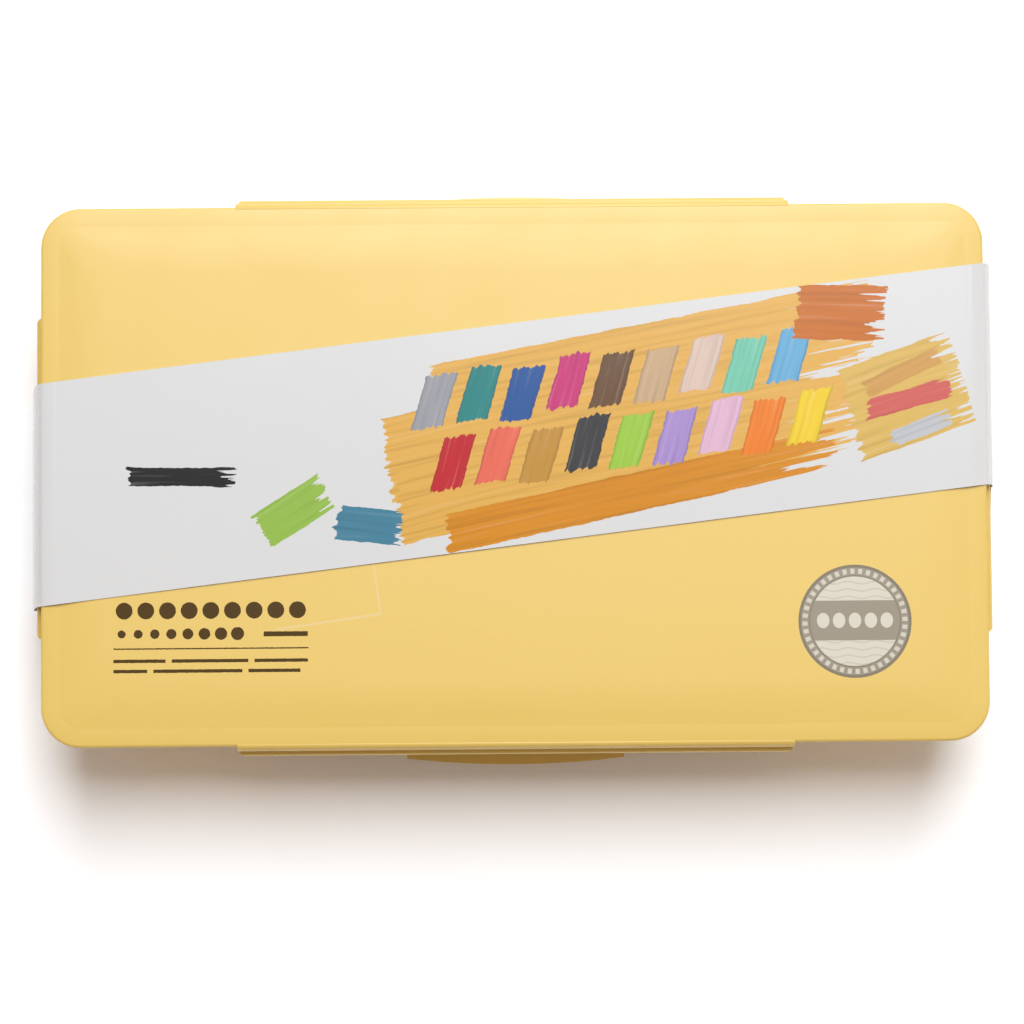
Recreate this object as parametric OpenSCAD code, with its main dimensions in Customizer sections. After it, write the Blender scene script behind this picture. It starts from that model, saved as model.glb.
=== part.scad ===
// Gouache paint set box: a flat plastic case with a lock flap on each of its four
// sides, eighteen sealed paint cups and a brush trough inside, a mixing palette clipped
// into the lid, and a paper band wrapped round the closed case.
// Millimetres. +X runs along the case, +Y towards its back, +Z up.
// The origin is under the middle of the case, on the surface that it stands on.

/* [Case] */
// length of the lid
lid_l = 310; // [270:1:350]
// width of the lid, from front to back
lid_w = 177; // [160:1:210]
// overall height, paper band included
case_h = 52; // [47:0.5:64]
// corner radius of the lid in plan
corner_r = 12; // [9:0.5:18]
// wall thickness of the mouldings
wall = 2; // [1.6:0.1:2.4]

/* [Lid] */
// height of the lid, from its lower edge to its top panel
lid_h = 10.4; // [9.6:0.2:12]
// distance from the lid's edge to the raised top panel
panel_inset = 6.5; // [5:0.5:12]

/* [Lock flaps] */
// length of the front and back flaps
flap_l_long = 183; // [140:1:210]
// length of the side flaps
flap_l_short = 107; // [80:1:120]
// height of a flap, from its hinge to its lower edge
flap_h = 26; // [22:0.5:30]
// thickness of a flap
flap_t = 2; // [1.6:0.1:2.4]
// how far the finger lip stands out beyond the flap
lip_out = 3.6; // [2:0.2:5]
// width of the finger lip on the front and back flaps
lip_l_long = 73; // [40:1:100]
// width of the finger lip on the side flaps
lip_l_short = 56; // [30:1:70]

/* [Cups and tray] */
// space between the rims of neighbouring cups
cup_gap = 3; // [2:0.5:5]
// wall thickness of a cup
cup_wall = 1; // [0.8:0.1:1.4]
// unfilled height between the paint and the cup's rim
paint_gap = 3.6; // [2:0.2:8]
// inner width of the brush trough
trough_w = 21; // [14:1:26]
// depth of the brush trough below the tray's deck
trough_d = 16; // [10:1:20]

/* [Palette] */
// length of the mixing palette along the case
palette_l = 104; // [80:1:130]
// width of the mixing palette, from front to back
palette_w = 142; // [110:1:142]

/* [Paper band] */
// width of the band
band_w = 73; // [50:1:90]
// distance of the band's middle behind the middle of the case
band_y = 13; // [0:1:16]
// how far back the band's right end lies from its middle
band_skew = 18.8; // [0:0.2:20]
// thickness of the paper
paper = 0.35; // [0.25:0.05:0.45]

/* [Hidden] */
$fn = 48;
cut = 0.1;                               // overshoot of a cutting solid
fit = 0.25;                              // clearance of a loose fit

// distances up and down
foot_h = 1.2;                            // the feet lift the tub clear of the band
band_z = 0.3;                            // underside of the band
panel_rise = 0.4;                        // the top panel stands above the lid's border
flange_down = 0.4;                       // the tub's flange below the lid's lower edge
flange_t = 2.4;
hinge_up = 3;                            // fold line of the flaps above the lid's lower edge
bead_up = 4.9;                           // sealing bead of the tub above the same edge
rib_up = 2;                              // inner wall of the seal channel above the same edge
deck_down = 4.6;                         // the tray's deck below the flange
catch_down = 14.9;                       // underside of the catch rails below the fold line

// heights
z_top = case_h - paper - fit;            // top panel of the lid
z_rim = z_top - panel_rise;
z_lid = z_top - lid_h;                   // lower edge of the lid
z_flange = z_lid - flange_down;
z_hinge = z_lid + hinge_up;
z_bead = z_lid + bead_up;
z_channel = z_rim - wall;                // roof of the lid's seal channel
z_ceiling = z_top - wall;                // roof of the lid inside
z_floor = foot_h + wall;                 // inside floor of the tub
z_deck = z_flange - deck_down;
z_catch = z_hinge - catch_down;

// insets from the lid's edge
lid_wall = wall;                         // outer wall of the lid
rib_in = 6;                              // inner wall of the seal channel
rib_t = 1.2;
flange_in = 0.5;
bead_in = 3.7;
bead_t = 1.5;
tub_top_in = 6;                          // tub's outer wall below its flange
tub_foot_in = 9;                         // tub's outer wall at its foot
tub_r_less = 3;                          // the tub's corners are rounded by this much less
sunk_in = 20;                            // shallow panel in the underside, in from the foot
sunk_t = 0.5;
gate_d = 7;                              // moulding gate in the underside
brace_h = 7;                             // thin ribs that carry the flange
brace_from = 3;                          // beyond the ends of the flaps
brace_to = 5;
foot_d = 10;
foot_in_x = 11;                          // middle of a foot from the tub's foot edge
foot_in_y = 7;
shoulder_r = 1;                          // rounded shoulder of the lid
seal_out = 1;                            // the seal is wider than the bead, outwards
seal_in = 0.7;                           // and inwards
seal_down = 0.6;                         // and hangs down past it

// lock flaps
gap_long = 1.3;                          // from the lid's edge to the fold line
gap_short = 0.4;
flare = 0.6;                             // the flap's lower edge stands out by this
flap_r = 3;                              // rounded lower corners
flap_end_r = 4;                          // rounded ends in plan, on the outer side
flap_round = 1.2;                        // rounded upper edge, clear of the lid when folded up
cover_out = 0.3;                         // the lid's rounded edge above a fold line stands
cover_up = 2.8;                          // out past it by this, this far above it
cover_h = 0.6;                           // height of that edge's upright face
cover_in = 0.5;                          // below it the lid stays this far inside the fold line
web_t = 0.5;                             // thickness of the living hinge
web_end = 0.3;                           // the hinge is shorter than the flap by this at each end
catch_in = 0.3;
catch_t = 1.8;                           // height of a catch rail at its outer edge
catch_root = 5;                          // and at the tub's wall
rail_end = 6;                            // the rails end this far inside the flaps' ends
hook_end = 8;
hook_hold = 0.8;                         // the hooks reach under the rails by this
hook_h = 2.2;
hook_t = 0.6;                            // height of a hook at its tip
lip_t = 2.4;

// tray and cups
cup_cols = 6;
cup_rows = 3;
tray_t = 1.4;                            // ribs and trough walls of the tray
deck_t = 2;
deck_r = 6;
deck_play = 0.4;
deck_edge = 1;                           // from the outer cups' room to the deck's edge
trough_in = 1.6;                         // from the trough's front wall to the deck's edge
trough_end = 1;                          // from the trough's ends to the tub's walls
trough_r = 6;
notch_r = 9;                             // finger notches beside the trough
rib_back = 4;                            // the tray's ribs end this far inside the deck
cup_lip = 2.2;                           // the rim rests on the deck by this much
cup_play = 0.3;
rim_t = 1.4;
film_t = 0.15;
film_in = 0.5;
tab_r = 2.2;                             // pull tab of a film
tab_in = 5;
cup_r = 5;
cup_taper = 0.88;                        // size of a cup's foot against its mouth
cup_floor = 1.2;
cup_up = 2.5;                            // the cups hang clear of the tub's floor
paint_in = 0.06;
z_cup = z_floor + cup_up;                // underside of the cups

// palette, its clips and the ribs beside it
palette_h = 6.4;
palette_r = 8;
well_r = 4;
well_edge = 3;                           // rim round the wells and ridges between them
well_floor = 1.6;
clip_l = 14;
clip_t = 1.2;                            // thickness of a clip's toe
clip_toe = 0.8;                          // the toe reaches under the palette by this
stiff_t = 1.5;                           // height of the lid's stiffening ribs
stiff_from = 7;                          // nearest that a rib may lie to the palette
stiff_to = 9;                            // and to the lid's edge
z_palette = z_ceiling - palette_h;       // open side of the palette, facing down

// paper band
lap_w = 18;                              // glued lap under the case
lap_t = 0.3;
overrun = 20;                            // the cutting outline reaches past the case by this

// an inset d from the lid's edge on a tapering wall, at the height z
function wall_in(z, top, foot) =
    foot + (top - foot) * (z - foot_h) / (z_flange - foot_h);
function tub_in(z) = wall_in(z, tub_top_in + wall, tub_foot_in + wall);

deck_in = tub_in(z_deck - deck_t) + deck_play;
deck_l = lid_l - 2 * deck_in;
deck_w = lid_w - 2 * deck_in;
cups_back = deck_w / 2 - deck_edge;
pitch_x = (deck_l - 2 * deck_edge) / cup_cols;
trough_front = -deck_w / 2 + trough_in + tray_t;  // front face of the trough's inside
trough_back = trough_front + trough_w;
trough_y = trough_front + trough_w / 2;
pitch_y = (cups_back - trough_back - tray_t) / cup_rows;
trough_l = lid_l - 2 * (tub_in(z_deck - trough_d - tray_t) + trough_end);
rim_l = pitch_x - cup_gap;
rim_w = pitch_y - cup_gap;
cup_l = rim_l - 2 * cup_lip;
cup_w = rim_w - 2 * cup_lip;

function cup_x(i) = (i % cup_cols - (cup_cols - 1) / 2) * pitch_x;
function cup_y(i) = cups_back - (floor(i / cup_cols) + 0.5) * pitch_y;
function two(n) = n < 10 ? str("0", n) : str(n);

cups = [for (i = [0 : cup_cols * cup_rows - 1]) i];
row_names = ["back", "middle", "front"];

// colours of the mouldings and of the eighteen paints
yellow = [0.95, 0.82, 0.50];
milky = [0.93, 0.93, 0.90];
paint_colours = [
    [0.62, 0.63, 0.66], [0.05, 0.50, 0.50], [0.05, 0.25, 0.62],
    [0.80, 0.15, 0.45], [0.45, 0.30, 0.17], [0.82, 0.70, 0.52],
    [0.90, 0.80, 0.75], [0.50, 0.82, 0.72], [0.45, 0.70, 0.88],
    [0.78, 0.08, 0.10], [0.95, 0.45, 0.38], [0.80, 0.60, 0.20],
    [0.25, 0.25, 0.27], [0.62, 0.82, 0.22], [0.68, 0.58, 0.84],
    [0.92, 0.76, 0.86], [0.97, 0.50, 0.10], [0.98, 0.85, 0.15]];

// ---- shared shapes ----

module rounded_rect(l, w, r) {
    square([l - 2 * r, w], center = true);
    square([l, w - 2 * r], center = true);
    for (x = [-1, 1], y = [-1, 1])
        translate([x * (l / 2 - r), y * (w / 2 - r)]) circle(r);
}

// a plate with the lid's outline, drawn in by the inset d
module plate(d, z0, z1) {
    translate([0, 0, z0]) linear_extrude(z1 - z0)
        rounded_rect(lid_l - 2 * d, lid_w - 2 * d, max(corner_r - d, 1.5));
}

module ring(d0, d1, z0, z1) {
    difference() {
        plate(d0, z0, z1);
        plate(d1, z0 - cut, z1 + cut);
    }
}

// points round a rounded rectangle, anticlockwise, with n steps on each corner
function outline(l, w, r, n) = [
    for (k = [0 : 4 * n + 3])
        let (q = floor(k / (n + 1)), a = 90 * (q + k % (n + 1) / n))
        [(q == 0 || q == 3 ? 1 : -1) * (l / 2 - r) + r * cos(a),
         (q < 2 ? 1 : -1) * (w / 2 - r) + r * sin(a)]];

// a rounded block that widens evenly from l0 x w0 at z0 to l1 x w1 at z1
module tapered_block(l0, w0, z0, l1, w1, z1, r, n = 6) {
    low = [for (p = outline(l0, w0, r, n)) [p[0], p[1], z0]];
    high = [for (p = outline(l1, w1, r, n)) [p[0], p[1], z1]];
    m = len(low);
    polyhedron(concat(low, high), concat(
        [[for (k = [0 : m - 1]) k], [for (k = [1 : m]) 2 * m - k]],
        [for (k = [0 : m - 1]) [k, m + k, m + (k + 1) % m, (k + 1) % m]]));
}

// an X-Z outline of a bar, drawn as (outwards, up), run along the side's length
module bar_along(length) {
    rotate([90, 0, 90]) linear_extrude(length, center = true) children();
}

// the four sides of the case: 0 back, 1 left, 2 front, 3 right
function side_length(s) = s % 2 == 0 ? flap_l_long : flap_l_short;
function side_lip(s) = s % 2 == 0 ? lip_l_long : lip_l_short;
function side_gap(s) = s % 2 == 0 ? gap_long : gap_short;
function side_edge(s) = s % 2 == 0 ? lid_w / 2 : lid_l / 2;

module on_side(s) {
    rotate([0, 0, 90 * s]) translate([0, side_edge(s), 0]) children();
}

// ---- tub ----

module catch_rail(s) {
    wall_d = wall_in(z_catch, tub_top_in, tub_foot_in) + wall / 2;
    on_side(s) bar_along(side_length(s) - 2 * rail_end) polygon([
        [-catch_in, z_catch], [-catch_in, z_catch + catch_t],
        [-wall_d, z_catch + catch_root], [-wall_d, z_catch]]);
}

// thin ribs that carry the flange beyond the ends of the flaps
module flange_ribs(s) {
    last = (s % 2 == 0 ? lid_l : lid_w) / 2 - corner_r - brace_to;
    first = min(side_length(s) / 2 + brace_from, last);
    z_brace = z_flange - flange_t;
    for (side = [-1, 1], x = [first, last])
        on_side(s) translate([side * x, 0, 0])
            bar_along(tray_t) polygon([
                [-flange_in - 1, z_brace + cut], [-tub_foot_in, z_brace + cut],
                [-tub_foot_in, z_brace - brace_h],
                [-tub_top_in - 0.4, z_brace - brace_h + 1]]);
}

module base_tub() {
    inner_foot = tub_foot_in + wall;
    z_cut = z_flange + cut;
    cut_in = tub_in(z_cut);
    floor_in = tub_in(z_floor);
    color(yellow) difference() {
        union() {
            tapered_block(lid_l - 2 * tub_foot_in, lid_w - 2 * tub_foot_in, foot_h,
                          lid_l - 2 * tub_top_in, lid_w - 2 * tub_top_in, z_flange,
                          corner_r - tub_r_less);
            ring(flange_in, inner_foot, z_flange - flange_t, z_flange);
            ring(bead_in, bead_in + bead_t, z_flange - cut, z_bead);
            for (s = [0 : 3]) {
                catch_rail(s);
                flange_ribs(s);
            }
            for (x = [-1, 1], y = [-1, 1])
                translate([x * (lid_l / 2 - tub_foot_in - foot_in_x),
                           y * (lid_w / 2 - tub_foot_in - foot_in_y), 0])
                    cylinder(d = foot_d, h = foot_h + cut);
        }
        tapered_block(lid_l - 2 * floor_in, lid_w - 2 * floor_in, z_floor,
                      lid_l - 2 * cut_in, lid_w - 2 * cut_in, z_cut,
                      corner_r - tub_r_less - wall);
        // shallow panel and gate mark in the underside
        plate(tub_foot_in + sunk_in, foot_h - cut, foot_h + sunk_t);
        cylinder(d = gate_d, h = foot_h + 2 * sunk_t);
    }
}

// ---- tray, cups, paints and films ----

module pockets(z0, z1) {
    for (i = cups)
        translate([cup_x(i), cup_y(i), z0]) linear_extrude(z1 - z0)
            rounded_rect(cup_l + 2 * cup_play, cup_w + 2 * cup_play, cup_r + cup_play);
}

module cup_tray() {
    z_under = z_deck - deck_t;
    z_trough = z_deck - trough_d;
    y_back = deck_w / 2 - rib_back;
    y_ribs = trough_back + tray_t;
    half_l = deck_l / 2 - deck_r;
    color(yellow) difference() {
        union() {
            translate([0, 0, z_under]) linear_extrude(deck_t)
                rounded_rect(deck_l, deck_w, deck_r);
            // ribs between the pockets, standing on the floor of the tub
            for (k = [1 : cup_cols - 1])
                translate([(k - cup_cols / 2) * pitch_x - tray_t / 2, y_ribs - cut, z_floor])
                    cube([tray_t, y_back - y_ribs, z_under + cut - z_floor]);
            for (k = [1 : cup_rows - 1])
                translate([-half_l, cups_back - k * pitch_y - tray_t / 2, z_floor])
                    cube([2 * half_l, tray_t, z_under + cut - z_floor]);
            // walls and floor of the brush trough
            translate([0, trough_y, z_trough - tray_t])
                linear_extrude(trough_d - deck_t + tray_t + cut)
                    rounded_rect(trough_l, trough_w + 2 * tray_t, trough_r);
        }
        pockets(z_under - cut, z_deck + cut);
        translate([0, trough_y, z_trough]) linear_extrude(trough_d + cut)
            rounded_rect(trough_l - 2 * tray_t, trough_w, trough_r - tray_t);
        // finger notches beside the trough, for lifting a brush out
        for (x = [-1, 1])
            translate([x * trough_l / 4, trough_y, z_deck]) rotate([90, 0, 0])
                cylinder(r = notch_r, h = trough_w + 2 * (tray_t + deck_edge), center = true);
    }
}

module cup(i) {
    color(milky) translate([cup_x(i), cup_y(i), 0]) difference() {
        union() {
            tapered_block(cup_l * cup_taper, cup_w * cup_taper, z_cup,
                          cup_l, cup_w, z_deck, cup_r, 4);
            translate([0, 0, z_deck]) linear_extrude(rim_t)
                rounded_rect(rim_l, rim_w, cup_r);
        }
        cup_inside(z_deck + rim_t, 0);
    }
}

// the cup's inside up to the height z, drawn in by the gap g at its walls
module cup_inside(z, g) {
    rise = (z - z_cup) / (z_deck - z_cup);
    share = cup_taper + (1 - cup_taper) * rise;
    d = 2 * (cup_wall + g);
    tapered_block(cup_l * cup_taper - d, cup_w * cup_taper - d, z_cup + cup_floor,
                  cup_l * share - d, cup_w * share - d, z, cup_r - cup_wall, 4);
}

module paint(i) {
    color(paint_colours[i]) translate([cup_x(i), cup_y(i), 0])
        cup_inside(z_deck + rim_t - paint_gap, paint_in);
}

module films(row) {
    color(milky) for (k = [0 : cup_cols - 1]) {
        i = row * cup_cols + k;
        translate([cup_x(i), cup_y(i), z_deck + rim_t]) {
            linear_extrude(film_t)
                rounded_rect(rim_l - 2 * film_in, rim_w - 2 * film_in, cup_r - film_in);
            // pull tab at the front right corner
            translate([rim_l / 2 - tab_in, -rim_w / 2 + 2 * film_in, 0])
                cylinder(r = tab_r, h = film_t);
        }
    }
}

// ---- lid ----

module lid_outside() {
    z_round = z_rim - shoulder_r;
    hull() for (turn = [0 : 15 : 90])
        plate(shoulder_r * (1 - cos(turn)), z_lid, z_round + shoulder_r * sin(turn));
    plate(panel_inset, z_rim - cut, z_top);
}

// rounded edge that stands out over the living hinge of the side s; it stays clear of the
// flap's upper edge, which passes under it when the flap is folded up
module hinge_cover(s) {
    gap = side_gap(s);
    round_from = gap + shoulder_r / 2;
    z_round = cover_up + cover_h;
    rise = z_rim - z_hinge;
    tuck = -min(cover_in, gap);
    on_side(s) translate([0, gap, z_hinge]) intersection() {
        bar_along(side_length(s)) polygon(concat(
            [[-round_from, fit], [tuck, fit], [tuck, cover_up - cover_h], [cover_out, cover_up]],
            [for (turn = [0 : 15 : 90])
                [-round_from + (round_from + cover_out) * cos(turn),
                 z_round + (rise - z_round) * sin(turn)]]));
        flap_plan(side_length(s), rise + cut);
    }
}

// clip with a toe under the palette's rim, at the palette's side s (-1 or 1)
module palette_clip(s) {
    z_toe = z_palette - fit - clip_t;
    translate([s * (palette_l / 2 + fit), -clip_l / 2, z_toe]) {
        translate([s > 0 ? 0 : -tray_t, 0, 0])
            cube([tray_t, clip_l, z_ceiling + cut - z_toe]);
        translate([s > 0 ? -clip_toe - fit : 0, 0, 0]) cube([clip_toe + fit, clip_l, clip_t]);
    }
}

module lid_shell() {
    z_rib = z_lid + rib_up;
    stiff_first = palette_l / 2 + stiff_from;
    stiff_step = (lid_l / 2 - stiff_to - stiff_first) / 4;
    color(yellow) {
        difference() {
            lid_outside();
            plate(lid_wall, z_lid - cut, z_rib);
            ring(lid_wall, rib_in, z_rib - cut, z_channel);
            plate(rib_in + rib_t, z_rib - cut, z_ceiling);
        }
        for (s = [0, 2]) hinge_cover(s);
        for (s = [-1, 1], y = [-1, 1])
            translate([0, y * palette_w / 4, 0]) palette_clip(s);
        // stiffening ribs on both sides of the palette
        for (x = [-1, 1], k = [1 : 3])
            translate([x * (stiff_first + k * stiff_step), 0, z_ceiling - stiff_t])
                linear_extrude(stiff_t + cut)
                    square([tray_t, lid_w - 2 * rib_in - rib_t], center = true);
    }
}

module lid_seal() {
    color([0.88, 0.88, 0.86]) difference() {
        ring(bead_in - seal_out, bead_in + bead_t + seal_in, z_bead - seal_down, z_channel);
        // the bead of the tub beds into this groove
        ring(bead_in - cut, bead_in + bead_t + cut, z_bead - seal_down - cut, z_bead);
    }
}

// ---- palette ----

module palette_well(l, w) {
    translate([0, 0, z_palette - cut]) linear_extrude(palette_h - well_floor + cut)
        rounded_rect(l, w, well_r);
}

module palette() {
    half = (palette_l - 3 * well_edge) / 2;
    small = (palette_w - 5 * well_edge) / 4;
    color(yellow) difference() {
        translate([0, 0, z_palette]) linear_extrude(palette_h)
            rounded_rect(palette_l, palette_w, palette_r);
        // one broad mixing well beside a column of four small ones
        translate([-(half + well_edge) / 2, 0, 0])
            palette_well(half, palette_w - 2 * well_edge);
        for (k = [0 : 3])
            translate([(half + well_edge) / 2, (k - 1.5) * (small + well_edge), 0])
                palette_well(half, small);
    }
}

// ---- lock flaps ----

// outline of a flap in plan, with rounded ends, reaching h above and below its fold line
module flap_plan(length, h) {
    r = flap_end_r;
    translate([0, flap_t + flare - r, 0]) linear_extrude(2 * h, center = true) {
        square([length - 2 * r, 2 * r], center = true);
        for (x = [-1, 1]) translate([x * (length / 2 - r), 0]) circle(r);
    }
}

// a flap hanging from its fold line, which is the X axis, with its outside at +Y;
// gap is the width of its living hinge, play the room between its hook and the rail
module flap(length, lip_l, gap, play) {
    r = flap_r;
    y_out = flap_t + flare;
    z_hook = z_catch - z_hinge - play;
    z_flare = z_hook - hook_h;
    rise = 0.6 * lip_out;
    lip_r = (lip_l * lip_l / 4 + rise * rise) / (2 * rise);
    color(yellow) {
        // face of the flap, flared below its hook, with rounded lower corners and ends
        intersection() {
            bar_along(length) polygon([
                [0, 0], [flap_t - flap_round, 0],
                [flap_t - 0.3 * flap_round, -0.3 * flap_round], [flap_t, -flap_round],
                [flap_t, z_flare], [y_out, -flap_h],
                [flare, -flap_h], [0, z_flare]]);
            translate([0, y_out + cut, 0]) rotate([90, 0, 0])
                linear_extrude(y_out + 2 * cut) {
                    translate([-length / 2 - cut, -flap_h + r])
                        square([length + 2 * cut, flap_h - r + cut]);
                    translate([-length / 2 + r, -flap_h - cut])
                        square([length - 2 * r, r + 2 * cut]);
                    for (x = [-1, 1]) translate([x * (length / 2 - r), -flap_h + r]) circle(r);
                }
            flap_plan(length, flap_h + cut);
        }
        // living hinge, as thin as a film, joined to the lid's edge
        translate([-length / 2 + web_end, -gap, -web_t])
            cube([length - 2 * web_end, gap + cut, web_t]);
        // hook ridge
        bar_along(length - 2 * hook_end) polygon([
            [cut, z_hook - hook_h], [-reach(gap), z_hook - hook_t],
            [-reach(gap), z_hook], [cut, z_hook]]);
        // finger lip, a flat arc in plan
        translate([0, 0, -flap_h]) linear_extrude(lip_t) intersection() {
            translate([0, y_out + lip_out - lip_r]) circle(lip_r, $fn = 400);
            translate([-lip_l / 2, flare + cut]) square([lip_l, flap_t + lip_out]);
        }
    }
}

// how far a hook stands in from its flap, past the edge of the catch rail
function reach(gap) = gap + catch_in + hook_hold;

module side_flap(s, play) {
    gap = side_gap(s);
    on_side(s) translate([0, gap, z_hinge]) flap(side_length(s), side_lip(s), gap, play);
}

// ---- paper band ----

module band_inside() {
    flap_x = lid_l / 2 + gap_short + flap_t + fit;
    lip_x = flap_x + flare + lip_out;
    foot_x = lid_l / 2 - tub_foot_in + fit;
    arc_x = lid_l / 2 - shoulder_r;
    arc_z = z_rim - shoulder_r;
    arc_r = (shoulder_r + fit) * sqrt(0.5);
    half = [[foot_x, band_z + paper], [lip_x, z_hinge - flap_h - fit],
            [lip_x, z_hinge - flap_h + lip_t + fit], [flap_x, z_hinge + fit],
            [arc_x + arc_r + 0.1, arc_z + arc_r + 0.1], [arc_x + fit, z_top + fit]];
    last = len(half) - 1;
    polygon(concat(half, [for (k = [0 : last]) [-half[last - k][0], half[last - k][1]]]));
}

module paper_band() {
    reach = lid_l / 2 + overrun;
    slope = band_skew / (lid_l / 2);
    lap_x = lid_l / 5;
    color([0.89, 0.89, 0.88]) intersection() {
        rotate([90, 0, 0]) linear_extrude(2 * lid_w, center = true) {
            difference() {
                offset(delta = paper) band_inside();
                band_inside();
            }
            // glued lap, under the case
            translate([lap_x, band_z + paper - cut / 2]) square([lap_w, lap_t + cut / 2]);
        }
        translate([0, 0, -1]) linear_extrude(case_h + 2) polygon([
            for (p = [[-1, -1], [1, -1], [1, 1], [-1, 1]])
                [p[0] * reach, band_y + p[0] * slope * reach + p[1] * band_w / 2]]);
    }
}

base_tub();
cup_tray();
side_flap(0, 0);  // back_flap
side_flap(1, 0.1);  // left_flap
side_flap(2, 0.1);  // front_flap
side_flap(3, 0.1);  // right_flap
lid_shell();
lid_seal();
palette();
paper_band();
for (row = [0 : 2]) films(row);
for (i = cups) cup(i);
for (i = cups) paint(i);
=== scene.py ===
from math import atan2, cos, pi, radians, sin

import bmesh
import bpy
from mathutils import Matrix, Vector


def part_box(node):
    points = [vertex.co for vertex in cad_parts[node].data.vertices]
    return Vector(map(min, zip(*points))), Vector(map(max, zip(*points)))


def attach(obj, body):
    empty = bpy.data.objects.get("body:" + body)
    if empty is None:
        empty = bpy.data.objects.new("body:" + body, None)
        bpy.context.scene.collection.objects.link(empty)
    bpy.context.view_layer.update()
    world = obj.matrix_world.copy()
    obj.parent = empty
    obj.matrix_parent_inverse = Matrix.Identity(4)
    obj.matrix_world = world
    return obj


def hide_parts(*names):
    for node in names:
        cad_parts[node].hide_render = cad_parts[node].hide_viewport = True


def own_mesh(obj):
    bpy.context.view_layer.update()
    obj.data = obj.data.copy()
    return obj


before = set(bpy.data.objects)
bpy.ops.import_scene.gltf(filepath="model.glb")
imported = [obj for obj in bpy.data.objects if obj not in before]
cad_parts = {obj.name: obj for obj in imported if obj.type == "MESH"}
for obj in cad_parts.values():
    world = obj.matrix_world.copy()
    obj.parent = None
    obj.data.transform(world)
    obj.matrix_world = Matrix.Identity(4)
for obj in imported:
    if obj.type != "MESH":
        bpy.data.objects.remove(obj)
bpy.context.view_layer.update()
MM = 0.001

# ---- Camera ----
# A studio camera about a metre above the case, looking almost straight down, a little
# in front of it and a hair turned.
camera = bpy.data.objects.new("camera", bpy.data.cameras.new("camera"))
bpy.context.scene.collection.objects.link(camera)
camera.location = Vector((-7, -60.1, 1000)) * MM
camera.rotation_euler = (radians(2.87), radians(-0.35), radians(-0.465))
camera.data.sensor_width = 36
camera.data.lens = 102.05
bpy.context.scene.camera = camera

# ---- Table and light ----
# A white card under a broad soft box, above and behind the case and a little to its
# right, with a weak fill from the right, in a warm room with paler walls. The card burns
# out to white, and the shadow falls to the front.
bpy.ops.object.select_all(action="DESELECT")
bpy.ops.mesh.primitive_plane_add(size=5)
table = bpy.context.object
table.name = "table"
card = bpy.data.materials.new("white_card")
card.use_nodes = True
card.node_tree.nodes["Principled BSDF"].inputs["Base Color"].default_value = (0.98, 0.98, 0.98, 1)
card.node_tree.nodes["Principled BSDF"].inputs["Roughness"].default_value = 0.9
table.data.materials.append(card)


def soft_box(name, place, target, size, watts, colour):
    light = bpy.data.lights.new(name, "AREA")
    light.shape = "RECTANGLE"
    light.size, light.size_y = size
    light.energy = watts
    light.color = colour
    lamp = bpy.data.objects.new(name, light)
    lamp.location = place
    lamp.rotation_mode = "QUATERNION"
    lamp.rotation_quaternion = (Vector(target) - Vector(place)).to_track_quat("-Z", "Y")
    bpy.context.scene.collection.objects.link(lamp)


soft_box("soft_box", (0.19, 1.56, 2.6), (0, 0, 0), (1.65, 2.4), 115, (0.95, 1.015, 1.07))
soft_box("side_fill", (1.4, -0.1, 0.7), (0, 0, 0), (0.8, 0.8), 2, (1, 0.93, 0.86))
room = bpy.data.worlds.new("white_room")
room.use_nodes = True
nodes, links = room.node_tree.nodes, room.node_tree.links
direction, height = nodes.new("ShaderNodeTexCoord"), nodes.new("ShaderNodeSeparateXYZ")
walls = nodes.new("ShaderNodeValToRGB")
pale, warm = walls.color_ramp.elements
pale.position, pale.color = 0.14, (0.62, 0.61, 0.6, 1)
warm.position, warm.color = 0.3, (0.363, 0.287, 0.25, 1)
links.new(direction.outputs["Generated"], height.inputs[0])
links.new(height.outputs["Z"], walls.inputs[0])
links.new(walls.outputs["Color"], nodes["Background"].inputs["Color"])
bpy.context.scene.world = room
bpy.context.scene.view_settings.view_transform = "Standard"

# ---- Tub ----
# The lower moulding of the case: a tapered polypropylene tub with a flange, a sealing
# bead and four feet. Every outer edge is slightly rounded, as the mould leaves it.
case_yellow = (0.655, 0.455, 0.104, 1)
case_shade = (0.64, 0.44, 0.092, 1)
grain_scale = 2600
grain_depth = 0.02 * MM
mould_round = 0.35 * MM


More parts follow.
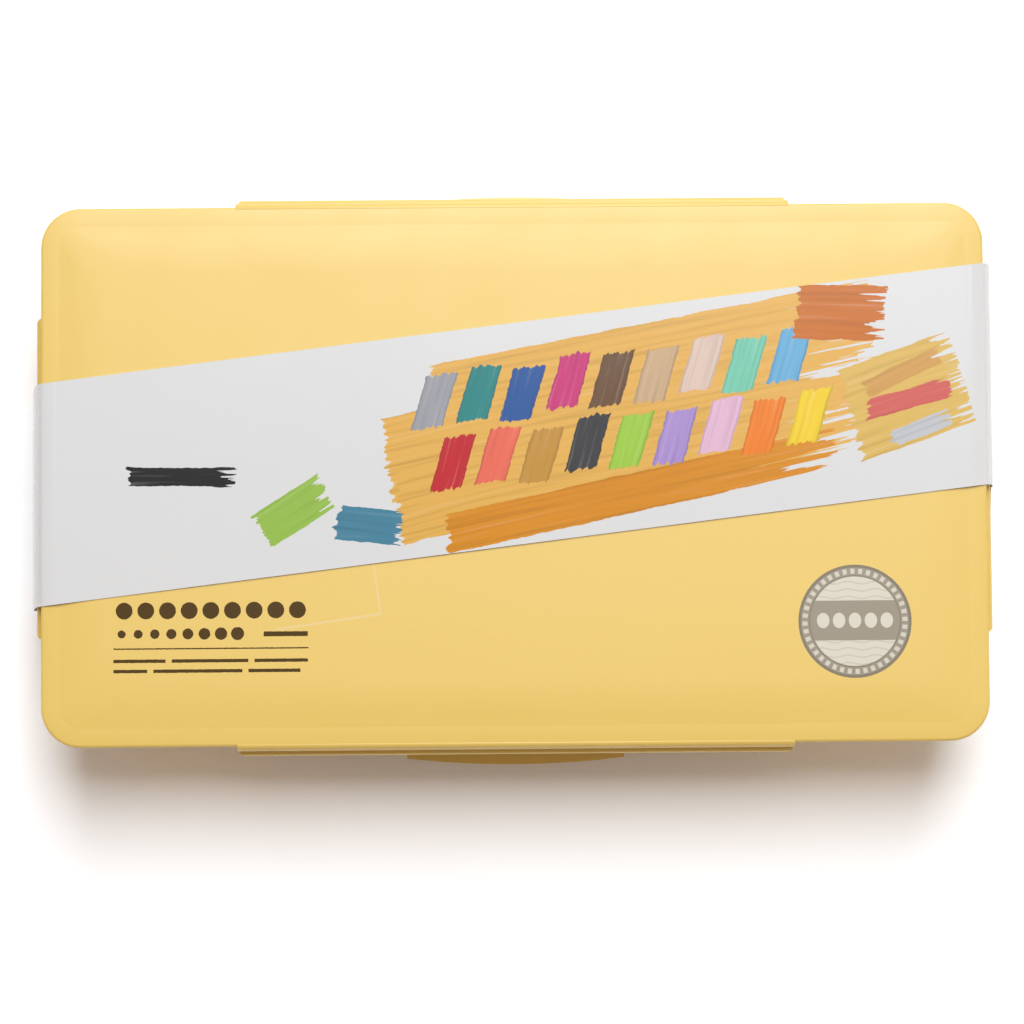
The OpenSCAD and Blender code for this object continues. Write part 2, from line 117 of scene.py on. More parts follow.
class Shade:
    """A number, colour or vector among a material's nodes, so that its maths reads as Python."""

    def __init__(self, tree, socket):
        self.tree, self.socket = tree, socket

    def node(self, kind, values=None, out=0, stops=None, **settings):
        """Adds a node: its settings or a ramp's stops first, then its sockets' values or links."""
        made = self.tree.nodes.new("ShaderNode" + kind)
        for name, value in settings.items():
            setattr(made, name, value)
        if stops:
            made.color_ramp.interpolation = "CONSTANT"
            while len(made.color_ramp.elements) < len(stops):
                made.color_ramp.elements.new(1)
            for element, (place, colour) in zip(made.color_ramp.elements, stops):
                element.position, element.color = place, colour
        for name, value in (values or {}).items():
            if isinstance(value, Shade):
                self.tree.links.new(value.socket, made.inputs[name])
            else:
                made.inputs[name].default_value = value
        return Shade(self.tree, made.outputs[out])

    def __add__(self, other):
        return maths("ADD", self, other)

    def __radd__(self, other):
        return maths("ADD", other, self)

    def __sub__(self, other):
        return maths("SUBTRACT", self, other)

    def __rsub__(self, other):
        return maths("SUBTRACT", other, self)

    def __mul__(self, other):
        return maths("MULTIPLY", self, other)

    def __rmul__(self, other):
        return maths("MULTIPLY", other, self)

    def __truediv__(self, other):
        return maths("DIVIDE", self, other)

    def __lt__(self, other):
        return maths("LESS_THAN", self, other)

    def __gt__(self, other):
        return maths("GREATER_THAN", self, other)

    def noise(self, scale, detail):
        """Smooth noise over this place, with scale features to the metre."""
        return self.node("TexNoise", {"Vector": self, "Scale": scale, "Detail": detail})

    def split(self):
        """The x, y and z of this place."""
        return [self.node("SeparateXYZ", {0: self}, axis) for axis in range(3)]

    def over(self, under, top):
        """Colour top laid over colour under, where this mask is 1."""
        return self.node("Mix", {0: self, 6: under, 7: top}, 2, data_type="RGBA")

    def bump(self, distance):
        """Normals for a relief this deep, with this number as its height."""
        return self.node("Bump", {"Height": self, "Distance": distance})


def maths(operation, *values):
    """A Math node on one or more numbers, at least one of them a Shade."""
    shade = next(v for v in values if isinstance(v, Shade))
    return shade.node("Math", dict(enumerate(values)), operation=operation)


def start_finish(name, fixed):
    """A new material, its shader with these fixed values, and the object's own coordinates."""
    finish = bpy.data.materials.new(name)
    finish.use_nodes = True
    shader = finish.node_tree.nodes["Principled BSDF"]
    for socket, value in fixed.items():
        shader.inputs[socket].default_value = value
    coordinates = finish.node_tree.nodes.new("ShaderNodeTexCoord")
    return finish, shader, Shade(finish.node_tree, coordinates.outputs["Object"])


def feed(shader, links):
    """Links worked-out values to a shader's sockets."""
    for socket, value in links.items():
        value.tree.links.new(value.socket, shader.inputs[socket])


def polypropylene(name, light, dark, gloss=0.0):
    """Moulded plastic: fine spark-eroded grain, faint flow marks, a satin sheen."""
    finish, shader, place = start_finish(name, {"IOR": 1.6})
    flow = place.noise(9, 3)
    colour = flow.over(dark, light)
    sheen = 0.36 - gloss + 0.12 * place.noise(55, 4)
    grain = (place.noise(grain_scale, 1) + 0.6 * place.noise(grain_scale / 6, 2)).bump(grain_depth)
    feed(shader, {"Base Color": colour, "Roughness": sheen, "Normal": grain})
    return finish, shader, place, colour, sheen


case_plastic = polypropylene("case_plastic", case_yellow, case_shade)[0]


def only(piece):
    bpy.ops.object.select_all(action="DESELECT")
    piece.select_set(True)
    bpy.context.view_layer.objects.active = piece


def apply_modifier(piece, kind, **settings):
    only(piece)
    modifier = piece.modifiers.new(kind.lower(), kind)
    for name, value in settings.items():
        setattr(modifier, name, value)
    bpy.ops.object.modifier_apply(modifier=modifier.name)


def coat(piece, finish):
    """Gives a piece one material in place of those it has."""
    piece.data.materials.clear()
    piece.data.materials.append(finish)


def dress(piece, finish, body, node):
    """Gives a finished piece its material and slot, and lets it stand for its CAD node."""
    coat(piece, finish)
    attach(piece, body)
    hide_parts(node)


def moulding(node, name, edge, steps=2):
    """A CAD node's shape as one clean mesh with its edges rounded."""
    piece = bpy.data.objects.new(name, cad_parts[node].data.copy())
    bpy.context.scene.collection.objects.link(piece)
    only(piece)
    bpy.ops.object.mode_set(mode="EDIT")
    bpy.ops.mesh.select_all(action="SELECT")
    bpy.ops.mesh.remove_doubles(threshold=0.002 * MM)
    bpy.ops.mesh.dissolve_limited(angle_limit=radians(0.4))
    bpy.ops.object.mode_set(mode="OBJECT")
    apply_modifier(piece, "BEVEL", width=edge, segments=steps, limit_method="ANGLE",
                   angle_limit=radians(35), use_clamp_overlap=True)
    bpy.ops.object.shade_smooth_by_angle(angle=radians(40))
    return piece


dress(moulding("base_tub", "tub", mould_round), case_plastic, "base", "base_tub")

# ---- Cup tray ----
# A grid moulded from the same plastic. It drops into the tub, holds the eighteen cups by
# their rims, and has a long trough for brushes along its front.
dress(moulding("cup_tray", "tray", mould_round), case_plastic, "base", "cup_tray")

# ---- Paint cups ----
# Thin milky polypropylene cups with a broad rim, made like jelly cups: the foot is a
# little smaller than the mouth. One is modelled at the origin and copied for each place.
cup_count = 18
cup_low, cup_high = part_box("cup_01")
cup_size = cup_high - cup_low
cup_half = cup_size.xy / 2
rim_z = cup_high.z
rim_thickness = 1.4 * MM
rim_width = 2.2 * MM
cup_depth = rim_z - rim_thickness - cup_low.z
cup_wall = 1.0 * MM
cup_corner = 5 * MM
cup_taper = 0.88
foot_round = 1.2 * MM
foot_scale = 0.96
touch = 0.02 * MM  # heights and places closer than this count as one


def pick(piece, kind, test):
    """Selects those faces or edges of a piece that pass a test, in edit mode."""
    bpy.ops.mesh.select_mode(type="FACE" if kind == "faces" else "EDGE")
    bpy.ops.mesh.select_all(action="DESELECT")
    mesh = bmesh.from_edit_mesh(piece.data)
    mesh.normal_update()
    for part in getattr(mesh, kind):
        part.select_set(test(part))
    mesh.select_flush_mode()
    bmesh.update_edit_mesh(piece.data)


def upright(edge):
    """A test for the edges that stand straight up."""
    a, b = (v.co for v in edge.verts)
    return (a.xy - b.xy).length < touch < abs(a.z - b.z)


def level_face(z, way):
    """A test for the level faces at the height z that look up (1) or down (-1)."""
    return lambda f: f.normal.z * way > 0.9 and abs(f.calc_center_median().z - z) < touch


def rounded_block(name, middle, size, corner, steps):
    """A block with upright corners rounded in plan, left in edit mode."""
    bpy.ops.object.select_all(action="DESELECT")
    bpy.ops.mesh.primitive_cube_add(size=1, location=middle, scale=size)
    piece = bpy.context.object
    piece.name = name
    bpy.ops.object.transform_apply(location=True, rotation=True, scale=True)
    bpy.ops.object.mode_set(mode="EDIT")
    pick(piece, "edges", upright)
    bpy.ops.mesh.bevel(offset=corner, segments=steps, affect="EDGES")
    return piece


def push(x=0.0, y=0.0, z=0.0):
    """Extrudes what is selected by this much."""
    bpy.ops.mesh.extrude_region_move(TRANSFORM_OT_translate={"value": (x, y, z)})


def draw_in(piece, half, old, new, rise=0.0, middle=(0, 0)):
    """Extrudes the selected level face by rise and draws its outline in. Old and new give
    the outline's inset from a rectangle with these half sides, and its corner radius."""
    push(z=rise)
    mesh = bmesh.from_edit_mesh(piece.data)
    for vertex in mesh.verts:
        if vertex.select:
            off = [vertex.co[k] - middle[k] for k in (0, 1)]
            angle = atan2(*(abs(off[k]) - half[k] + sum(old) for k in (1, 0)))
            for k, part in ((0, cos(angle)), (1, sin(angle))):
                side = half[k] - sum(new) + new[1] * part
                vertex.co[k] = middle[k] + (side if off[k] > 0 else -side)
    bmesh.update_edit_mesh(piece.data)


def shrink(piece, share, middle=(0, 0)):
    """Scales what is selected in plan, towards the middle."""
    mesh = bmesh.from_edit_mesh(piece.data)
    for vertex in mesh.verts:
        if vertex.select:
            for k in (0, 1):
                vertex.co[k] = middle[k] + (vertex.co[k] - middle[k]) * share
    bmesh.update_edit_mesh(piece.data)


cup = rounded_block("cup_master", (0, 0, rim_z - rim_thickness / 2),
                    (cup_size.x, cup_size.y, rim_thickness), cup_corner, 6)
pick(cup, "faces", level_face(rim_z - rim_thickness, -1))
draw_in(cup, cup_half, (0, cup_corner), (rim_width, cup_corner))
push(z=foot_round - cup_depth)
shrink(cup, cup_taper + (1 - cup_taper) * foot_round / cup_depth)
for share, scale in ((0.7, 0.985), (0.3, foot_scale)):
    push(z=-share * foot_round)
    shrink(cup, scale)
pick(cup, "faces", level_face(rim_z, 1))
draw_in(cup, cup_half, (0, cup_corner), (rim_width + cup_wall, cup_corner - cup_wall))
push(z=-rim_thickness - cup_depth + cup_wall + 2 * foot_round)
shrink(cup, cup_taper)
push(z=-foot_round)
shrink(cup, foot_scale)
bpy.ops.object.mode_set(mode="OBJECT")
apply_modifier(cup, "BEVEL", width=0.25 * MM, segments=2, limit_method="ANGLE",
               angle_limit=radians(40))
bpy.ops.object.shade_smooth_by_angle(angle=radians(35))

milky, shader, place = start_finish("milky_cup", {"Roughness": 0.32, "IOR": 1.49})
feed(shader, {"Base Color": place.noise(40, 2).over((0.80, 0.80, 0.77, 1), (0.88, 0.88, 0.86, 1)),
              "Normal": place.noise(900, 2).bump(0.01 * MM)})

for number in range(1, cup_count + 1):
    low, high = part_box(f"cup_{number:02d}")
    copy = bpy.data.objects.new(f"jelly_cup_{number:02d}", cup.data.copy())
    bpy.context.scene.collection.objects.link(copy)
    copy.data.transform(Matrix.Translation(((low + high) / 2).xy.to_3d()))
    dress(copy, milky, "base", f"cup_{number:02d}")
bpy.data.objects.remove(cup)

# ---- Paints ----
# Thick gouache with a pearly sheen, poured into the cups. The surface keeps the swirl of
# the nozzle and sinks a little in the middle as it sets.
paint_colours = [
    (0.36, 0.37, 0.40), (0.02, 0.25, 0.24), (0.02, 0.10, 0.34),
    (0.62, 0.04, 0.20), (0.16, 0.08, 0.035), (0.62, 0.42, 0.24),
    (0.76, 0.58, 0.48), (0.20, 0.62, 0.44), (0.15, 0.44, 0.70),
    (0.58, 0.02, 0.03), (0.86, 0.16, 0.10), (0.58, 0.30, 0.05),
    (0.05, 0.05, 0.055), (0.36, 0.62, 0.06), (0.42, 0.29, 0.64),
    (0.80, 0.50, 0.66), (0.92, 0.24, 0.02), (0.93, 0.66, 0.03)]
paint_low, paint_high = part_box("paint_01")
paint_size = paint_high - paint_low
paint_corner = 4 * MM
paint_lip = 0.8 * MM
paint_taper = 0.9
# the surface from the cup's wall inwards: each ring's inset and how far it sinks, in mm
paint_rings = ((1.2, 0.5), (3, 0.35), (5.5, 0.3), (8.5, 0.2), (11, 0.05))


def gouache(number, colour, middle):
    """Wet pearly paint, with a swirl round the middle of its own cup; its colour is darker in the
    swirl's low parts, as painted shade.
    """
    name = f"paint_{number:02d}"
    finish, shader, place = start_finish(
        name, {"Coat Weight": 0.6, "Coat Roughness": 0.08, "Metallic": 0.25, "IOR": 1.45})
    local = place.node("VectorMath", {0: place, 1: (-middle.x, -middle.y, 0)}, operation="ADD")
    x, y, _ = local.split()
    reach = maths("SQRT", x * x + y * y)
    turn = maths("ARCTAN2", y, x)
    wander = place.noise(60, 2) * 14
    swirl = maths("SINE", reach * 500 + turn * (1 if number % 2 else -1) + wander)
    dimple = place.noise(160, 3)
    # darker where the swirl and dimples that also make the relief lie low: painted shade in the
    # relief's hollows
    painted_low_shade = tuple(0.72 * c for c in colour) + (1,)
    relief_shaded_colour = (swirl * 0.2 + dimple * 0.8).over(painted_low_shade, colour + (1,))
    feed(shader, {"Base Color": relief_shaded_colour, "Roughness": 0.28 + 0.2 * dimple,
                  "Normal": (swirl * 0.5 + dimple).bump(0.5 * MM)})
    return finish


for number, colour in enumerate(paint_colours, 1):
    low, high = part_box(f"paint_{number:02d}")
    middle = (low + high) / 2
    body = rounded_block(f"gouache_{number:02d}", (middle.x, middle.y, high.z - paint_lip / 2),
                         (paint_size.x, paint_size.y, paint_lip), paint_corner, 4)
    pick(body, "faces", level_face(high.z - paint_lip, -1))
    push(z=low.z - high.z + paint_lip)
    shrink(body, paint_taper, middle)
    pick(body, "faces", level_face(high.z, 1))
    outline = (0, paint_corner)
    for inset, sink in paint_rings:
        drawn = (inset * MM, paint_corner)
        draw_in(body, paint_size.xy / 2, outline, drawn, -sink * MM, middle)
        outline = drawn
    bpy.ops.object.mode_set(mode="OBJECT")
    only(body)
    bpy.ops.object.shade_smooth_by_angle(angle=radians(35))
    dress(body, gouache(number, colour, middle), "base",
          f"paint_{number:02d}")

# ---- Films ----
# Clear peel-off films heat-sealed on the cups' rims, each with a pull tab. They are thin,
# glossy and slightly crinkled by the sealing head.
film, shader, place = start_finish("clear_film", {"Base Color": (0.5, 0.51, 0.51, 1),
                                                  "Roughness": 0.08, "IOR": 1.6})
feed(shader, {"Alpha": 0.04 + 0.16 * place.noise(120, 3),
              "Normal": (place.noise(220, 3) + place.noise(60, 2)).bump(0.35 * MM)})
film.blend_method = "HASHED"
for row in ("back", "middle", "front"):
    coat(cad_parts[f"films_{row}"], film)

# ---- Seal ----
# A soft moulded strip pressed into the channel of the lid. The tub's bead closes on it.
rubber, shader, place = start_finish("seal_rubber", {"Roughness": 0.62, "IOR": 1.45})
feed(shader, {"Base Color": place.noise(30, 2).over((0.68, 0.68, 0.66, 1), (0.76, 0.76, 0.74, 1)),
              "Normal": place.noise(1500, 2).bump(0.02 * MM)})
coat(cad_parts["lid_seal"], rubber)

# ---- Palette ----
# A glossy moulded mixing palette that clips into the lid, open side down: one broad well
# beside four small ones.
palette_plastic = polypropylene("palette_plastic", (0.80, 0.62, 0.25, 1),
                                (0.78, 0.59, 0.22, 1), gloss=0.12)[0]
dress(moulding("palette", "mixing_palette", 0.5 * MM), palette_plastic, "lid",
      "palette")

# ---- Lock flaps ----
# Four flaps of the same plastic on living hinges along the lid's edge, each with a hook
# inside and a finger lip at the bottom.
for side, body in (("back", "base"), ("front", "front_flap"), ("left", "left_flap"),
                   ("right", "right_flap")):
    dress(moulding(f"{side}_flap", f"{side}_lock_flap", 0.45 * MM, 3), case_plastic,
          body, f"{side}_flap")

# ---- Lid ----
# The upper moulding: a rounded shell, softly crowned, with a faint step round its top
# panel, a channel for the seal, clips for the palette and stiffening ribs. Pad-printed.
lid_low, lid_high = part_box("lid_shell")
cover_reach = 1.6 * MM
lid_size = lid_high - lid_low - Vector((0, 2 * cover_reach, 0))
lid_corner = 13 * MM
shoulder = 1 * MM
lid_wall = 2 * MM
border = 5.9 * MM
crown = 0.62 * MM
crown_reach = 22 * MM
crown_steps = 10
step_rise = 0.12 * MM
border_z = lid_high.z - crown - step_rise
channel_out, channel_in, rib_in = 2 * MM, 6 * MM, 7.2 * MM
inner_edge_z = lid_low.z + 2 * MM
channel_z = lid_high.z - 2.4 * MM
ceiling_z = lid_high.z - lid_wall

lid = rounded_block("lid", (0, 0, (lid_low.z + border_z) / 2),
                    (lid_size.x, lid_size.y, border_z - lid_low.z), lid_corner, 14)
pick(lid, "edges", lambda e: all(abs(v.co.z - border_z) < touch for v in e.verts))
bpy.ops.mesh.bevel(offset=shoulder, segments=5, affect="EDGES")
pick(lid, "faces", level_face(border_z, 1))
outline = (shoulder, lid_corner - shoulder)
for past, share in ((0, 0.1), (0.5, 0.2), (1.1, 0.5), (1.6, 0.2)):
    inset = border + past * MM
    drawn = (inset, lid_corner - inset)
    draw_in(lid, lid_size.xy / 2, outline, drawn, step_rise * share)
    outline = drawn
crown_from = outline
for step in range(crown_steps):
    far, near = 1 - step / crown_steps, 1 - (step + 1) / crown_steps
    travel = (1 - near) * (crown_reach - crown_from[0])
    drawn = (crown_from[0] + travel, crown_from[1] + 0.6 * travel)
    draw_in(lid, lid_size.xy / 2, outline, drawn, crown * (far ** 2 - near ** 2))
    outline = drawn
pick(lid, "faces", level_face(lid_low.z, -1))
bpy.ops.mesh.inset(thickness=channel_out)
push(z=inner_edge_z - lid_low.z)
bpy.ops.mesh.inset(thickness=channel_in - channel_out)
# the four-sided faces make the ring that becomes the channel; the one inside it has more sides
inner = level_face(inner_edge_z, -1)
pick(lid, "faces", lambda f: inner(f) and len(f.verts) == 4)
push(z=channel_z - inner_edge_z)
pick(lid, "faces", lambda f: inner(f) and len(f.verts) > 4)
bpy.ops.mesh.inset(thickness=rib_in - channel_in)
push(z=ceiling_z - inner_edge_z)
bpy.ops.object.mode_set(mode="OBJECT")
apply_modifier(lid, "BEVEL", width=0.3 * MM, segments=2, limit_method="ANGLE",
               angle_limit=radians(50))


def lid_rib(low, high):
    """A small upright rib or clip between two opposite corners."""
    middle = [(a + b) / 2 for a, b in zip(low, high)]
    size = [b - a for a, b in zip(low, high)]
    piece = rounded_block("rib", middle, size, rib_round, 2)
    bpy.ops.object.mode_set(mode="OBJECT")
    return piece


# clips that hold the palette by its short sides, and ribs on either side of it; all of them
# stand a little way in the ceiling, so that they join it
palette_low, palette_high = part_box("palette")
fit = 0.25 * MM
join = 0.2 * MM
clip_half, clip_toe, clip_thick = 7 * MM, 0.8 * MM, 1.2 * MM
rib_thick, rib_height, rib_round = 1.4 * MM, 1.5 * MM, 0.2 * MM
rib_count = 3
rib_half = lid_size.y / 2 - channel_in - 0.6 * MM
ribs_from, ribs_to = palette_high.x + 7 * MM, lid_high.x - 9 * MM
root_z = ceiling_z + join / 2
toe_z = palette_low.z - fit - clip_thick
ribs = []
for side in (-1, 1):
    face = side * (palette_high.x + fit)
    for y in (palette_low.y / 2, palette_high.y / 2):
        xs = sorted((face, face + side * rib_thick))
        ribs.append(lid_rib((xs[0], y - clip_half, toe_z), (xs[1], y + clip_half, root_z)))
        xs = sorted((face - side * (clip_toe + fit), face + side * join))
        ribs.append(lid_rib((xs[0], y - clip_half, toe_z),
                            (xs[1], y + clip_half, toe_z + clip_thick)))
    for k in range(1, rib_count + 1):
        x = side * (ribs_from + k * (ribs_to - ribs_from) / (rib_count + 1))
        ribs.append(lid_rib((x - rib_thick / 2, -rib_half, ceiling_z - rib_height),
                            (x + rib_thick / 2, rib_half, root_z)))

# rounded edges that stand out over the living hinges of the two long flaps
flap_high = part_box("front_flap")[1]
hinge_z = flap_high.z
cover_half = flap_high.x - 0.2 * MM
cover_low = hinge_z + 2.8 * MM
cover_axis = hinge_z + 3.4 * MM
cover_root = 0.5 * MM
skirt_reach = 0.8 * MM
for side in (-1, 1):
    edge = side * lid_size.y / 2
    bpy.ops.object.select_all(action="DESELECT")
    bpy.ops.mesh.primitive_cylinder_add(
        vertices=48, radius=1, depth=2 * cover_half, rotation=(0, pi / 2, 0),
        location=(0, edge - side * cover_root, cover_axis))
    cover = bpy.context.object
    cover.scale = (border_z - cover_axis, cover_reach + cover_root, 1)
    bpy.ops.object.transform_apply(location=True, rotation=True, scale=True)
    bpy.ops.object.mode_set(mode="EDIT")
    bpy.ops.mesh.select_all(action="SELECT")
    bpy.ops.mesh.bisect(plane_co=(0, 0, cover_low), plane_no=(0, 0, 1), use_fill=True,
                        clear_inner=True)
    bpy.ops.object.mode_set(mode="OBJECT")
    apply_modifier(cover, "BEVEL", width=0.5 * MM, segments=3, limit_method="ANGLE",
                   angle_limit=radians(50))
    ys = sorted((edge - side * cover_root, edge + side * skirt_reach))
    ribs += [cover, lid_rib((-cover_half, ys[0], hinge_z + fit),
                            (cover_half, ys[1], cover_low + join))]
only(lid)
for rib in ribs:
    rib.select_set(True)
bpy.ops.object.join()
bpy.ops.object.shade_smooth_by_angle(angle=radians(32))

# the print: a plain seal on the right, and two rows of dots over thin rules on the left
ink = (0.04, 0.018, 0.002, 1)
seal_ink = (0.25, 0.21, 0.15, 1)
seal_edge = (0.15, 0.12, 0.07, 1)
seal_field = (0.55, 0.51, 0.415, 1)
# a pale tint for the painted glint along a clear film's edge
film_glint_tint = (0.66, 0.57, 0.42, 1)
seal_middle = (111 * MM, -49.2 * MM)
seal_radius = 18.5 * MM
field_radius = 0.79 * seal_radius
print_z = lid_high.z - 1.2 * MM
block_left, block_width = -131.2, 63.6

lid_plastic, shader, place, colour, sheen = polypropylene("lid_plastic", case_yellow, case_shade)
x, y, z = place.split()
upper = z > print_z
fray = (place.noise(1500, 2) - 0.5) * 0.3 * MM


def within(value, low, high):
    """1 where the value lies between low and high."""
    return (value > low) * (value < high)


def rule(left, length, level, thickness):
    """A thin printed line from left, at the height level, in millimetres."""
    return within(x + fray, left * MM, (left + length) * MM) * within(
        y + fray, (level - thickness / 2) * MM, (level + thickness / 2) * MM)


def dot_row(left, pitch, count, level, radius, growth=0.0):
    """A row of round dots from left; each is larger than the one before it by growth."""
    cell = maths("FLOOR", (x - left * MM) / (pitch * MM))
    dx = x - left * MM - (cell + 0.5) * pitch * MM
    dy = y - level * MM
    size = (radius + growth * cell) * MM + fray
    return within(cell, -0.5, count - 0.5) * (dx * dx + dy * dy < size * size)


printed = [dot_row(block_left, block_width / 9, 9, -44, 2.75),
           dot_row(block_left, 5.4, 8, -51.6, 1.3, 0.12), rule(block_left + 49, 14.4, -51.8, 1.6),
           rule(block_left, block_width, -56.4, 0.45)]
printed += [rule(block_left + start, length, level, 1.1)
            for start, length, level in ((0, 17, -60.4), (19, 25, -60.4), (46, 17.4, -60.4),
                                         (0, 11, -63.7), (13, 29, -63.7), (44, 17, -63.7))]
mask = printed[0]
for more in printed[1:]:
    mask = maths("MAXIMUM", mask, more)

sx, sy = x - seal_middle[0], y - seal_middle[1]
seal_reach = maths("SQRT", sx * sx + sy * sy) + fray * 0.4
seal_turn = maths("ARCTAN2", sy, sx)
disc = seal_reach < seal_radius
field = seal_reach < field_radius
bar = within(sy, -6.2 * MM, 6.8 * MM) * (seal_reach < seal_radius * 0.83)
ticks = within(seal_reach, seal_radius * 0.84, seal_radius * 0.93) * (
    maths("SINE", seal_turn * 40) > -0.1)
drop_pitch = 5.2 * MM
drop_cell = maths("FLOOR", sx / drop_pitch + 0.5)
drop_x = sx - drop_cell * drop_pitch
drops = (drop_x * drop_x * 1.5 + (sy - 0.3 * MM) * (sy - 0.3 * MM) < (2.5 * MM) ** 2) * (
    within(drop_cell, -2.5, 2.5))
waves = maths("SINE", sy * 2 * pi / (2.4 * MM) + maths("SINE", sx * 2 * pi / (9 * MM))) > 0.8
light_parts = maths("MAXIMUM", maths("MAXIMUM", field, ticks * 0.85) * (1 - bar), bar * drops)
badge = light_parts.over(seal_ink, seal_field)
badge = (waves * field * (1 - bar) * 0.3).over(badge, seal_ink)
badge = (within(seal_reach, seal_radius * 0.95, seal_radius) * 0.9).over(badge, seal_edge)
badge = (within(seal_reach, field_radius, seal_radius * 0.815) * 0.7).over(badge, seal_edge)


def hairline(start, end, width):
    """A mask for a faint straight line from start to end, in millimetres, where a painted glint
    goes.
    """
    run = Vector(end) - Vector(start)
    reach, run = run.length, run.normalized()
    dx, dy = x - start[0] * MM, y - start[1] * MM
    along, off = dx * run.x + dy * run.y, maths("ABSOLUTE", dx * run.y - dy * run.x)
    return within(along, 0, reach * MM) * (off < width * MM)


# two pale hairlines in front of the band: a painted highlight, the glint along the edge of a clear
# film that is not modelled
film_glint_lines = maths("MAXIMUM", hairline((-46.4, -28), (-44, -45.6), 0.3),
             hairline((-44, -45.6), (-78, -50.4), 0.35))
# the lid's colour paled along the hairlines: painted glint
glint_painted = (upper * film_glint_lines * 0.3).over(colour, film_glint_tint)
inked = (upper * mask * 0.96).over(glint_painted, ink)
feed(shader, {"Base Color": (upper * disc).over(inked, badge),
              "Roughness": sheen - (upper * mask * 0.28)})
dress(lid, lid_plastic, "lid", "lid_shell")

# ---- Paper band ----
# A strip of coated paper wrapped slantwise round the closed case, folded over its ends
# and glued to itself underneath. It is printed with strokes and swatches of paint.
band_low, band_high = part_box("paper_band")
paper = 0.35 * MM
band_width = 73 * MM
band_middle = 13 * MM
band_slope = 18.8 / 155
# the rest of the band's measures are in millimetres
top, foot = (band_high.z - paper) / MM, (band_low.z + paper) / MM
on_panel = top - 0.4
slack = 0.06
foot_half = 146.25
lap_from, lap_to, lap_height = 62, 80, foot + 0.37
# right half of the section inside the paper, from the middle of the top panel down the end:
# x, how far below the top, and the radius of the fold
half_section = [(0, 0, 0), (118, 0, 30), (149.8, -0.35, 14), (152.9, -0.62, 0.7),
                (154.6, -0.95, 0.7), (155.5, -2.3, 0.8), (157.65, -7.45, 1.5),
                (161.85, -31.0, 1.6), (161.85, -33.9, 0.8)]


def rounded_path(points, step):
    """Points along a line with rounded corners; each corner has its own radius."""
    made = [Vector(points[0][:2])]
    for before, (px, pz, radius), after in zip(points, points[1:], points[2:]):
        corner = Vector((px, pz))
        a = Vector(before[:2]) - corner
        b = Vector(after[:2]) - corner
        cut = min(radius, 0.45 * a.length, 0.45 * b.length)
        start, end = corner + a.normalized() * cut, corner + b.normalized() * cut
        for k in range(6):
            t = k / 5
            made.append(start * (1 - t) ** 2 + corner * 2 * t * (1 - t) + end * t * t)
    made.append(Vector(points[-1][:2]))
    fine = [made[0]]
    for a, b in zip(made, made[1:]):
        count = max(1, int((b - a).length / step))
        fine += [a.lerp(b, (k + 1) / count) for k in range(count) if (b - a).length > 0.01]
    return fine


right = [(px, top + dz, r) for px, dz, r in half_section]
left = [(-px, pz, r) for px, pz, r in reversed(right[1:])]
section = [(lap_to, lap_height, 0), (lap_from - 1, lap_height, 1), (lap_from - 3, foot, 1),
           (-foot_half, foot, 1.2)]
section += left + right + [(foot_half, foot, 1.2), (lap_from, foot, 0)]
path = rounded_path(section, 3)
lengths = [0]
for a, b in zip(path, path[1:]):
    lengths.append(lengths[-1] + (b - a).length)
highest = [k for k, p in enumerate(path) if p.y > top - 0.01]
origin = min(highest, key=lambda k: abs(path[k].x))
bpy.ops.object.select_all(action="DESELECT")
bpy.ops.mesh.primitive_grid_add(x_subdivisions=len(path) - 1, y_subdivisions=16, size=2)
band = bpy.context.object
band.name = "band"
places = [(round((v.co.x + 1) / 2 * (len(path) - 1)), v.co.y) for v in band.data.vertices]
for loop, uv in zip(band.data.loops, band.data.uv_layers[0].data):
    column, side = places[loop.vertex_index]
    uv.uv = ((lengths[column] - lengths[origin]) * MM, side * band_width / 2)
for vertex, (column, side) in zip(band.data.vertices, places):
    px, pz = path[column]
    if pz > on_panel:
        # the paper is slack by a hair between the places where it touches the case
        pz -= slack * (1 + sin(px / 17 + side) * cos(px / 41))
    y = band_middle + band_slope * px * MM + side * band_width / 2
    vertex.co = (px * MM, y, pz * MM)
apply_modifier(band, "SOLIDIFY", thickness=paper, offset=1, use_even_offset=True)
bpy.ops.object.shade_smooth_by_angle(angle=radians(28))

paper_tint = (0.575, 0.575, 0.565, 1)
paper_dim = (0.555, 0.555, 0.55, 1)
print_paper, shader, place = start_finish("printed_paper", {"IOR": 1.36})
u, v, _ = place.node("UVMap").split()
wobble = place.noise(110, 3) - 0.5
rough = place.noise(700, 3) - 0.5
picture = place.noise(14, 2).over(paper_dim, paper_tint)


def brush_stroke(under, middle, half_length, half_width, turn, tint, seed):
    """One stroke of a flat brush over a colour: ragged ends, dry streaks, a thin tail."""
    du, dv = u - middle[0] * MM, v - middle[1] * MM
    along = du * cos(turn) + dv * sin(turn)
    side = dv * cos(turn) - du * sin(turn)
    side = side + maths("SINE", along * (9 + 3 * seed)) * 0.12 * half_width * MM
    bristles = place.node("CombineXYZ", {0: along * 22, 1: side * 700, 2: seed * 3.7}).noise(1, 3)
    edge = maths("ABSOLUTE", side) + wobble * 1.6 * MM + rough * 0.5 * MM
    end = maths("ABSOLUTE", along + wobble * 4 * MM) + bristles * 6 * MM
    tail = maths("MAXIMUM", along - 0.2 * half_length * MM, 0) / (half_length * MM)
    mask = (edge < half_width * MM) * (end < (half_length + 3) * MM) * (
        bristles > 0.18 + tail * 0.42)
    return mask.over(under, streaked(tint + (1,), bristles))


def streaked(tint, bristles):
    """Paint of one tint with the darker and lighter streaks that the bristles leave."""
    darker = ((0.5 - bristles) * 0.9).over(tint, (0.02, 0.015, 0.01, 1))
    return ((bristles - 0.58) * 0.7).over(darker, (0.7, 0.66, 0.6, 1))


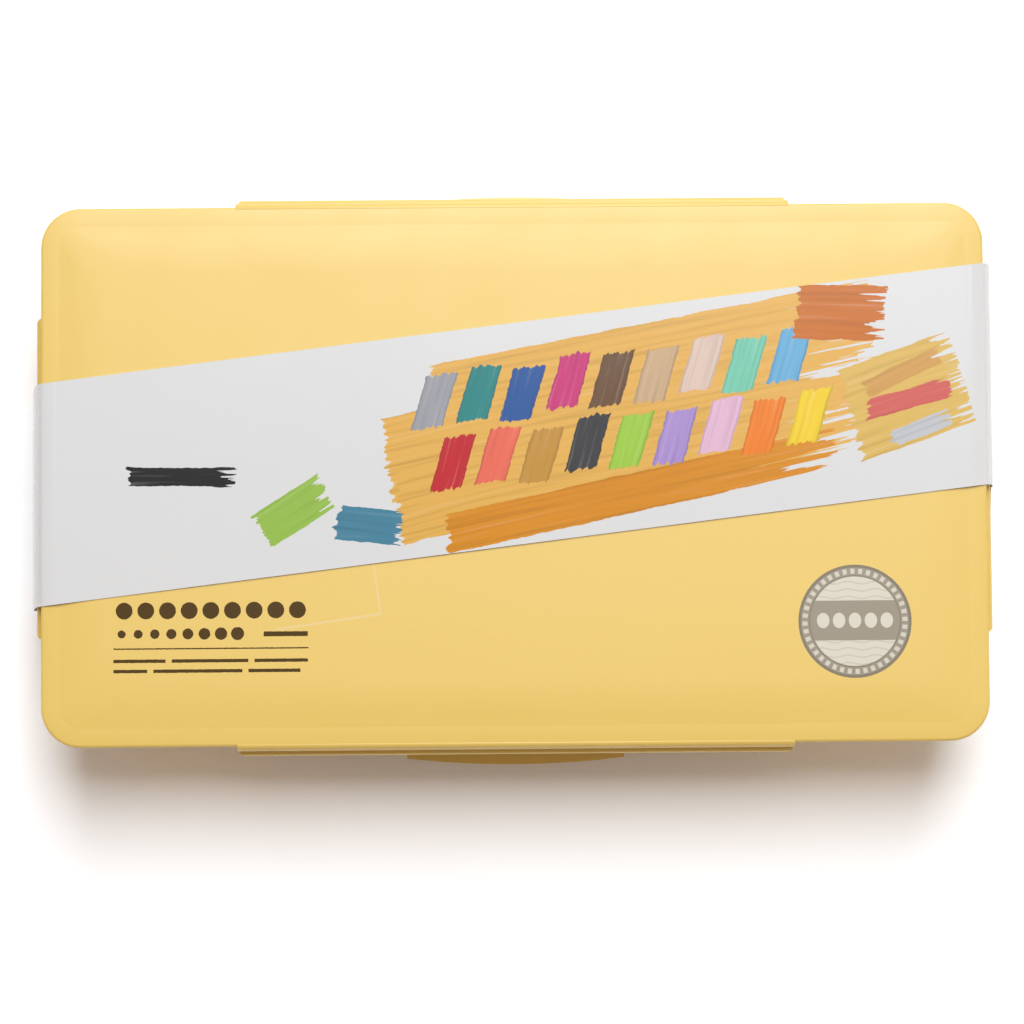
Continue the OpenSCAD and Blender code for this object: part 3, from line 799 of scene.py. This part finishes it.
def swatches(under, first, level, pitch, half_length, half_width, lean, tints):
    """A row of short leaning brush strokes over a colour, one to a tint."""
    count = len(tints)
    dv = v - level * MM
    du = u - first * MM - dv * lean
    cell = maths("FLOOR", du / (pitch * MM) + 0.5)
    side = du - cell * (pitch * MM) + wobble * 1.4 * MM
    along = dv - maths("SINE", cell * 2.4) * (1.2 * MM)
    bristles = place.node("CombineXYZ", {0: side * 800, 1: along * 30, 2: cell * 5.3}).noise(1, 3)
    end = maths("ABSOLUTE", along) + bristles * 4 * MM
    mask = (maths("ABSOLUTE", side) + rough * 1.1 * MM < half_width * MM) * (
        end < (half_length + 2) * MM) * within(cell, -0.5, count - 0.5)
    stops = [(k / count, tuple(0.74 * c for c in tint) + (1,)) for k, tint in enumerate(tints)]
    paint = place.node("ValToRGB", {0: (cell + 0.5) / count}, stops=stops)
    ridge = (maths("ABSOLUTE", side) > (half_width - 0.7) * MM) * 0.22
    return mask.over(under, ridge.over(streaked(paint, bristles), (0.05, 0.03, 0.02, 1)))


# a mustard wash of three broad strokes and a darker one, under two rows of leaning swatches
mustard, amber, straw = (0.60, 0.34, 0.07), (0.54, 0.21, 0.012), (0.56, 0.37, 0.09)
picture = brush_stroke(picture, (46, 18), 72, 13, radians(5), mustard, 1)
picture = brush_stroke(picture, (36, 3), 78, 14, radians(6), mustard, 4)
picture = brush_stroke(picture, (38, -13), 76, 12, radians(6), mustard, 7)
picture = brush_stroke(picture, (42, -24), 64, 6.5, radians(6), amber, 2)
picture = swatches(picture, -26, 14, 14.6, 8.6, 5.2, 0.3, paint_colours[:9])
picture = swatches(picture, -20, -7, 14.6, 8.6, 5.2, 0.3, paint_colours[9:])
# strokes of black, green and blue on the left, orange and a few smears on the right
picture = brush_stroke(picture, (-109, 0), 18, 3, radians(-7), (0.014, 0.014, 0.015), 10)
picture = brush_stroke(picture, (-72, -16), 12, 6.5, radians(28), (0.24, 0.40, 0.06), 3)
picture = brush_stroke(picture, (-47, -24), 11, 5.5, radians(-12), (0.05, 0.18, 0.26), 4)
picture = brush_stroke(picture, (108, 26), 15, 9, radians(-7), (0.46, 0.125, 0.006), 5)
picture = brush_stroke(picture, (129, -4), 19, 16, radians(16), straw, 6)
picture = brush_stroke(picture, (128, 4), 13, 3, radians(20), (0.50, 0.27, 0.07), 7)
picture = brush_stroke(picture, (130, -5), 14, 3.4, radians(10), (0.50, 0.095, 0.08), 8)
picture = brush_stroke(picture, (134, -15), 10, 2.8, radians(15), (0.42, 0.43, 0.45), 9)
feed(shader, {"Base Color": picture, "Roughness": 0.2 + 0.05 * place.noise(90, 2),
              "Normal": (place.noise(2400, 2) + 3 * place.noise(28, 1)).bump(0.012 * MM)})
dress(band, print_paper, "band", "paper_band")
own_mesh(band)
